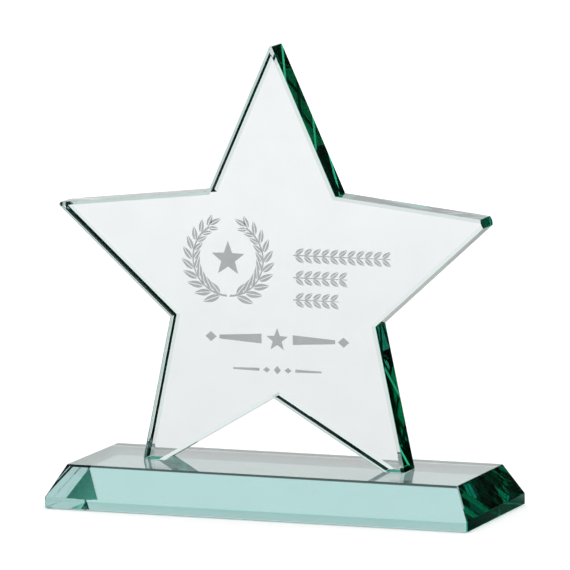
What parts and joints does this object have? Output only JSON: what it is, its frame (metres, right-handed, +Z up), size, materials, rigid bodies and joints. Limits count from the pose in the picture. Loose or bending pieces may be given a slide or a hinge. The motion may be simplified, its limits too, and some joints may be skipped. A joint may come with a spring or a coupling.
{
  "type": "star trophy",
  "caption": "Bevelled star cut from tinted plate glass, standing on its two feet on a long block with sloped sides; an award for display.",
  "frame": {"origin": "centre of the base block's underside, which rests on the table", "axes": "+Z up; +X along the block to the viewer's right; -Y is the presentation side, with the engraved face"},
  "size_m": [0.2047, 0.078, 0.2072],
  "materials": {
    "star_glass": "polished tinted plate glass",
    "block_glass": "polished tinted plate glass",
    "bond_film": "clear cured adhesive",
    "frosted_engraving": "matt, sandblasted"
  },
  "bodies": {
    "root": {"star_plate": "star_glass", "base_block": "block_glass", "foot_bond_left": "bond_film", "foot_bond_right": "bond_film"}
  },
  "joints": []
}
